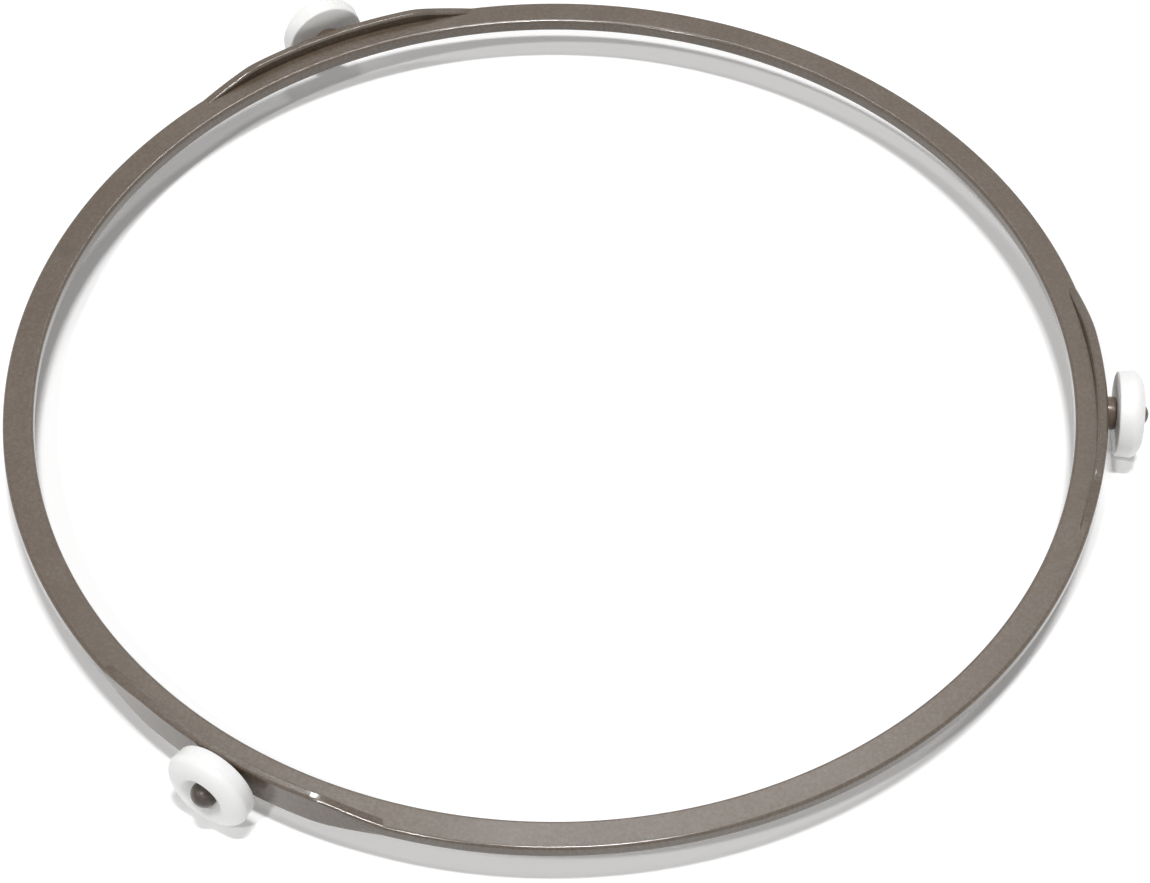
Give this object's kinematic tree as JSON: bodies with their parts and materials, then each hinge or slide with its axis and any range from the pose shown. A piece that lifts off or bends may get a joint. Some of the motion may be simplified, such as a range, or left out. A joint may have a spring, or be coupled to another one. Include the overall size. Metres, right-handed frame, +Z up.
{
  "type": "microwave roller ring",
  "caption": "Moulded hoop with radial pins that carry free-turning rollers; it lies under a microwave oven's glass tray so that the tray can turn.",
  "frame": {"origin": "on the ring's axis, at the level of the floor that the rollers stand on", "axes": "+Z up along the ring's axis; +X out along the pin of the right roller; +Y to the left of +X seen from above"},
  "size_m": [0.2203, 0.212, 0.0169],
  "materials": {
    "ring_plastic": "satin moulded brown-grey",
    "roller_plastic": "smooth moulded white"
  },
  "bodies": {
    "ring": {"support_ring": "ring_plastic"},
    "right_wheel": {"roller_right": "roller_plastic"},
    "back_wheel": {"roller_back": "roller_plastic"},
    "front_wheel": {"roller_front": "roller_plastic"}
  },
  "joints": [
    {"name": "right_roller_spin", "type": "hinge", "parent": "ring", "child": "right_wheel", "pos_m": [0.11048, 0, 0.00845], "axis": [1, 0, 0], "continuous": true},
    {"name": "back_roller_spin", "type": "hinge", "parent": "ring", "child": "back_wheel", "pos_m": [-0.05524, 0.09567, 0.00845], "axis": [-0.5, 0.866, 0], "continuous": true},
    {"name": "front_roller_spin", "type": "hinge", "parent": "ring", "child": "front_wheel", "pos_m": [-0.05524, -0.09567, 0.00845], "axis": [-0.5, -0.866, 0], "continuous": true}
  ]
}
